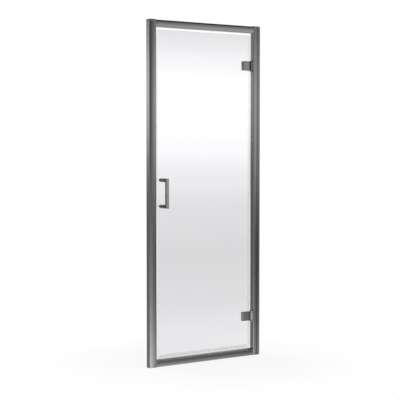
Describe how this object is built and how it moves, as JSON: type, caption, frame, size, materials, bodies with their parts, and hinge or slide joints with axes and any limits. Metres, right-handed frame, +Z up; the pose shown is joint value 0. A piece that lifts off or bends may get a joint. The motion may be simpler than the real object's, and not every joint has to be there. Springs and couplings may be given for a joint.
{
  "type": "hinged shower door",
  "caption": "Framed shower door set: a clear glass leaf on barrel hinges with a bar handle and push-on seals, in a dark brushed metal frame that fixes between two walls.",
  "frame": {"origin": "middle of the threshold's underside, half way along the opening and through the frame's depth", "axes": "+X along the opening from the handle side to the hinge side, +Y into the shower, +Z up"},
  "size_m": [0.755, 0.0795, 1.85],
  "materials": {
    "frame_metal": "brushed and tinted gunmetal anodising",
    "cap_plastic": "moulded, coloured to match the frame",
    "fitting_metal": "brushed gunmetal plating",
    "screw_steel": "plain stainless steel",
    "door_glass": "clear toughened glass with polished edges",
    "clear_seal": "translucent extruded plastic",
    "magnet_strip": "flexible magnetic strip, coated white",
    "bearing_plastic": "black nylon",
    "soft_pad": "dark grey soft sheet"
  },
  "bodies": {
    "frame": {"wall_channel_strike": "frame_metal", "wall_channel_hinge": "frame_metal", "strike_post": "frame_metal", "hinge_post": "frame_metal", "upright_cap_strike": "cap_plastic", "upright_cap_hinge": "cap_plastic", "top_rail": "frame_metal", "threshold_rail": "frame_metal", "rail_corner_screws": "screw_steel", "channel_clamp_screws": "screw_steel", "clamp_screw_covers": "cap_plastic", "strike_seal_carrier": "clear_seal", "strike_magnet": "magnet_strip", "hinge_bracket_upper": "fitting_metal", "hinge_bracket_lower": "fitting_metal", "hinge_pin_upper": "screw_steel", "hinge_pin_lower": "screw_steel", "hinge_bracket_screws": "screw_steel", "hinge_backing_plates": "screw_steel", "hinge_grub_screws": "screw_steel"},
    "door": {"door_glass": "door_glass", "glass_sleeves": "bearing_plastic", "door_magnet_seal": "clear_seal", "door_magnet": "magnet_strip", "hinge_side_seal": "clear_seal", "bottom_drip_seal": "clear_seal", "hinge_front_plate_upper": "fitting_metal", "hinge_front_plate_lower": "fitting_metal", "hinge_back_plate_upper": "fitting_metal", "hinge_back_plate_lower": "fitting_metal", "hinge_bushes": "bearing_plastic", "hinge_gaskets": "soft_pad", "hinge_clamp_bolts": "screw_steel", "handle_bar": "fitting_metal", "handle_standoff_upper": "fitting_metal", "handle_standoff_lower": "fitting_metal", "handle_washers": "soft_pad", "handle_back_discs": "fitting_metal", "handle_bolts": "screw_steel"}
  },
  "joints": [
    {"name": "door_swing", "type": "hinge", "parent": "frame", "child": "door", "pos_m": [0.319, -0.016, 0.925], "axis": [0, 0, 1], "range_deg": [0, 100]}
  ]
}
